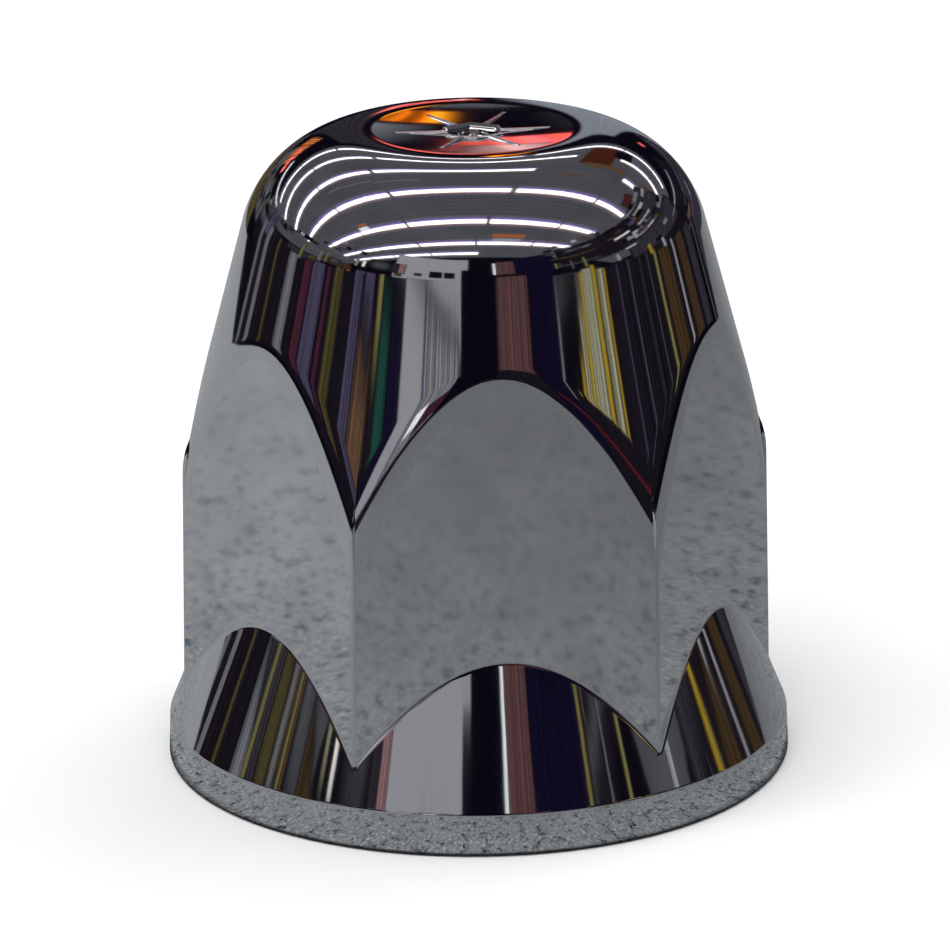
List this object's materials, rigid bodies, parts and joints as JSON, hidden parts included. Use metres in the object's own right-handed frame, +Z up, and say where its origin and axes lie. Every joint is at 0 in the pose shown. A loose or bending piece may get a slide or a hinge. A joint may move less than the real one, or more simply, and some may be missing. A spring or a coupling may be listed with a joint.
{
  "type": "wheel nut cover",
  "caption": "Bright plated push-on cover for a hexagonal wheel nut, with a tapered crown, a shallow dish on top and a flared round flange at its foot.",
  "frame": {"origin": "middle of the rim's flat underside", "axes": "+Z up the cap's axis towards the dish; the hexagon's corners lie along X and one flat faces -Y"},
  "size_m": [0.0527, 0.0526, 0.054],
  "materials": {
    "bright_plating": "mirror-bright decorative plating on moulded plastic, satin inside"
  },
  "bodies": {
    "root": {"cap": "bright_plating"}
  },
  "joints": []
}
